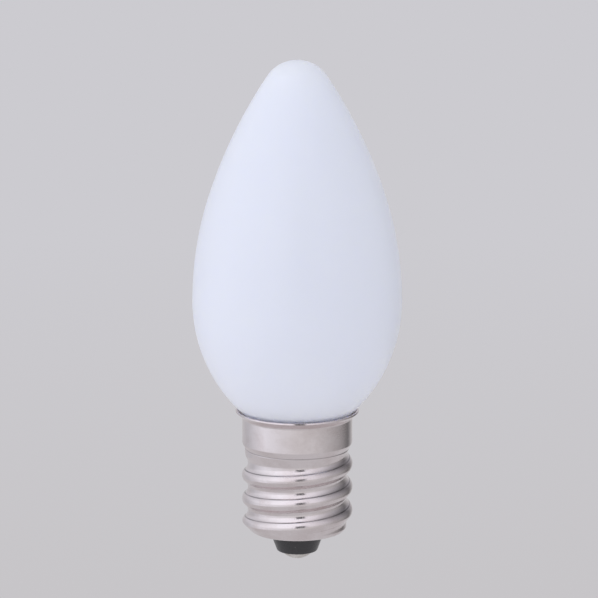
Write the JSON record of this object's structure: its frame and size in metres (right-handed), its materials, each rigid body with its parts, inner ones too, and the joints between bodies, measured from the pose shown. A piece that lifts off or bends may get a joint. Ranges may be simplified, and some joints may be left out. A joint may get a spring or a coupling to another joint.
{
  "type": "candle bulb",
  "caption": "Small torpedo-shaped candle lamp with a white opal glass envelope on a nickel-plated candelabra screw cap, standing tip up.",
  "frame": {"origin": "lowest point of the solder under the centre contact, on the lamp's axis", "axes": "+Z along the axis from the contact to the tip of the glass; the lamp is turned about +Z so that the viewer of the picture looks along +Y"},
  "size_m": [0.022, 0.022, 0.0535],
  "materials": {
    "opal_glass": "gloss",
    "nickel_plate": "satin",
    "black_glass": "gloss",
    "contact_brass": "satin",
    "solder": "satin",
    "lead_wire": "satin",
    "cement": "matte"
  },
  "bodies": {
    "root": {"glass_bulb": "opal_glass", "screw_shell": "nickel_plate", "cap_insulator": "black_glass", "contact_eyelet": "contact_brass", "solder_tip": "solder", "lead_wire_contact": "lead_wire", "lead_wire_shell": "lead_wire", "basing_cement": "cement"}
  },
  "joints": []
}
